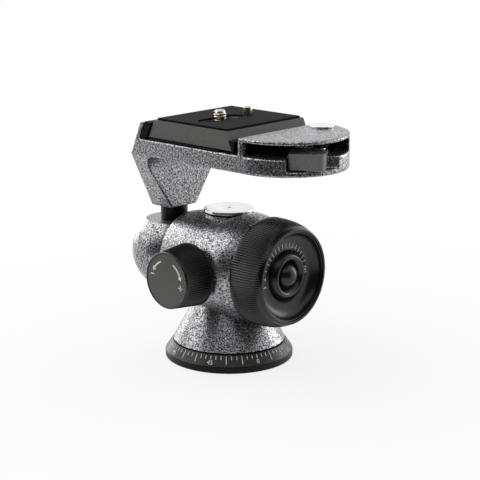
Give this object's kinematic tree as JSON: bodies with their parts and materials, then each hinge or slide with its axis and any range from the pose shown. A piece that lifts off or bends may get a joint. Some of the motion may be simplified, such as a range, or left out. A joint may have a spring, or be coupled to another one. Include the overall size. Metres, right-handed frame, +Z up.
{
  "type": "ball head",
  "caption": "Ball head for cameras: panning base, barrel body with a side-mounted ball, arched platform with a quick-release clamp, and knobs that lock pan and tilt.",
  "frame": {"origin": "centre of the tripod socket, on the base's bottom face", "axes": "+Z up along the pan axis, +X along the barrel towards the tilt-lock knob, -Y towards the pan-lock knob"},
  "size_m": [0.1295, 0.077, 0.1271],
  "materials": {
    "hammertone": "silver-grey hammertone enamel",
    "black_anodised": "black anodised, satin",
    "scale_grey": "dark grey anodised, satin",
    "rubber_black": "matt black rubber",
    "steel": "turned steel",
    "polished": "polished",
    "brass": "turned brass",
    "bronze": "sintered bronze",
    "acetal": "black acetal",
    "turned_alloy": "turned aluminium",
    "knob_black": "black, ribbed, satin",
    "dial_black": "black, semi-gloss",
    "jaw_black": "black, satin",
    "pan_disc": "dark grey, spun",
    "plate_grey": "mid-grey, satin",
    "lever_grey": "dark grey, satin"
  },
  "bodies": {
    "base": {"base_plate": "black_anodised", "scale_ring": "scale_grey", "base_pad": "rubber_black", "pan_spindle": "steel", "base_screws": "steel", "thrust_washer": "acetal", "spindle_washer": "steel", "spindle_nut": "steel"},
    "body": {"housing": "hammertone", "lower_bush": "bronze", "upper_bush": "bronze", "top_cap": "polished", "cap_seal": "rubber_black", "end_cover": "black_anodised", "cover_screws": "steel", "pan_lock_bush": "brass", "disc_springs": "steel", "knob_washer": "bronze"},
    "seat": {"ball_seat": "acetal"},
    "ball": {"ball_shell": "hammertone", "ball_plug": "hammertone", "neck": "black_anodised"},
    "arch": {"platform": "hammertone", "neck_grub_screw": "steel", "fixed_jaw": "jaw_black", "bed_liner": "rubber_black", "lever_pivot": "polished", "lever_spring": "steel"},
    "clamp_lever": {"lever": "lever_grey", "lever_rivet": "polished"},
    "jaw": {"moving_jaw": "jaw_black"},
    "plate": {"camera_plate": "plate_grey", "plate_pad": "rubber_black", "pin_spring": "steel", "pin_plug": "steel"},
    "screw_slider": {"screw_retainer": "steel"},
    "screw": {"camera_screw": "steel"},
    "pin": {"video_pin": "steel"},
    "tilt_lock": {"tilt_knob": "knob_black", "tilt_dial": "dial_black", "tilt_dome": "dial_black", "tilt_nut": "brass"},
    "drawbar": {"clamp_head": "steel", "clamp_rod": "steel", "lock_piston": "turned_alloy", "lock_stud": "steel"},
    "pan_lock": {"pan_knob": "knob_black", "pan_knob_face": "pan_disc", "pan_stud": "steel"},
    "shoe": {"pan_shoe": "brass"}
  },
  "joints": [
    {"name": "pan", "type": "hinge", "parent": "base", "child": "body", "pos_m": [0, 0, 0.049], "axis": [0, 0, 1], "continuous": true},
    {"name": "ball_roll", "type": "hinge", "parent": "body", "child": "seat", "pos_m": [-0.039, 0, 0.049], "axis": [1, 0, 0], "range_deg": [-90, 90]},
    {"name": "ball_tilt", "type": "hinge", "parent": "seat", "child": "ball", "pos_m": [-0.039, 0, 0.049], "axis": [0, -1, 0], "range_deg": [-3, 90]},
    {"name": "platform_spin", "type": "hinge", "parent": "ball", "child": "arch", "pos_m": [-0.039, 0, 0.049], "axis": [0, 0, 1], "continuous": true},
    {"name": "lever_swing", "type": "hinge", "parent": "arch", "child": "clamp_lever", "pos_m": [0.0424, 0.0203, 0.1132], "axis": [0, 0, 1], "range_deg": [0, 29], "stiffness_Nm_per_rad": 0.25, "springref_deg": -11.46},
    {"name": "jaw_slide", "type": "slide", "parent": "arch", "child": "jaw", "axis": [1, 0, 0], "range_m": [0, 0.00262]},
    {"name": "plate_slide", "type": "slide", "parent": "arch", "child": "plate", "axis": [0, -1, 0], "range_m": [0, 0.062]},
    {"name": "screw_slide", "type": "slide", "parent": "plate", "child": "screw_slider", "axis": [0, 1, 0], "range_m": [-0.0094, 0.0079]},
    {"name": "screw_turn", "type": "hinge", "parent": "screw_slider", "child": "screw", "pos_m": [0, -0.0065, 0.12], "axis": [0, 0, 1], "continuous": true},
    {"name": "pin_press", "type": "slide", "parent": "plate", "child": "pin", "axis": [0, 0, -1], "range_m": [0, 0.0034], "stiffness_N_per_m": 600, "springref_m": -0.001, "deforming": ["pin_spring"]},
    {"name": "tilt_lock_turn", "type": "hinge", "parent": "body", "child": "tilt_lock", "pos_m": [0.034, 0, 0.049], "axis": [1, 0, 0], "range_deg": [0, 180]},
    {"name": "drawbar_slide", "type": "slide", "parent": "body", "child": "drawbar", "axis": [-1, 0, 0], "range_m": [0, 0.00076]},
    {"name": "pan_lock_turn", "type": "hinge", "parent": "body", "child": "pan_lock", "pos_m": [0, -0.036, 0.048], "axis": [0, -1, 0], "range_deg": [0, 270]},
    {"name": "shoe_slide", "type": "slide", "parent": "body", "child": "shoe", "axis": [0, -1, 0], "range_m": [0, 0.00076]}
  ],
  "couplings": [
    {"joint": "jaw_slide", "follows": "lever_swing", "m_per_rad": 0.0051369},
    {"joint": "drawbar_slide", "follows": "tilt_lock_turn", "m_per_rad": 0.00023873},
    {"joint": "shoe_slide", "follows": "pan_lock_turn", "m_per_rad": 0.00015915}
  ]
}
